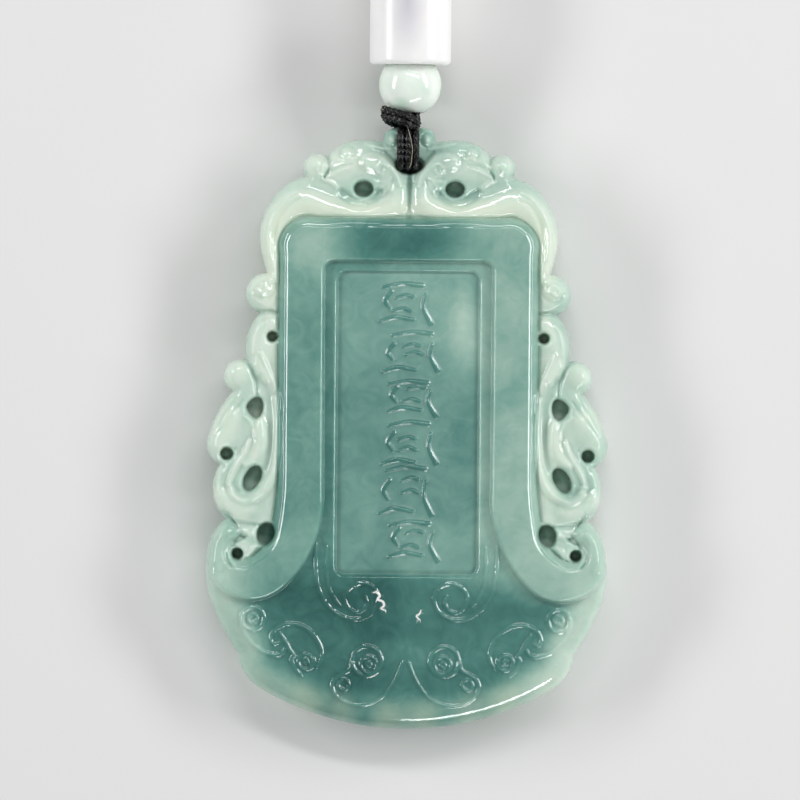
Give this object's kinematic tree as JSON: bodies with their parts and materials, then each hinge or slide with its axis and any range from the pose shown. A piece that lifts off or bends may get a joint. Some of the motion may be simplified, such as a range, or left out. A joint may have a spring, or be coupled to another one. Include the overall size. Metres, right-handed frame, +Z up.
{
  "type": "carved jade plaque pendant",
  "caption": "Bell-shaped carved jade plaque lying on its back, with openwork creatures on its rim, a framed panel of raised strokes, beads and a coiled black cord.",
  "frame": {"origin": "centre of the jade plaque's outline, on the surface that its flat back lies on", "axes": "+Y along the plaque towards its crest and the cord, +Z up out of the carved front, +X to the right as the front is seen"},
  "size_m": [0.0402, 0.1041, 0.0082],
  "materials": {
    "jade": "polished translucent blue-green jade, frosted on the sunk panel",
    "pale_jade": "polished translucent, very pale green",
    "milky_jade": "polished translucent, milky white",
    "black_cord": "fine braided black cord"
  },
  "bodies": {
    "root": {"jade_plaque": "jade", "round_bead": "pale_jade", "tube_bead": "milky_jade", "held_cord": "black_cord", "neck_cord_left": "black_cord", "neck_cord_right": "black_cord", "cord_coil": "black_cord"}
  },
  "joints": []
}
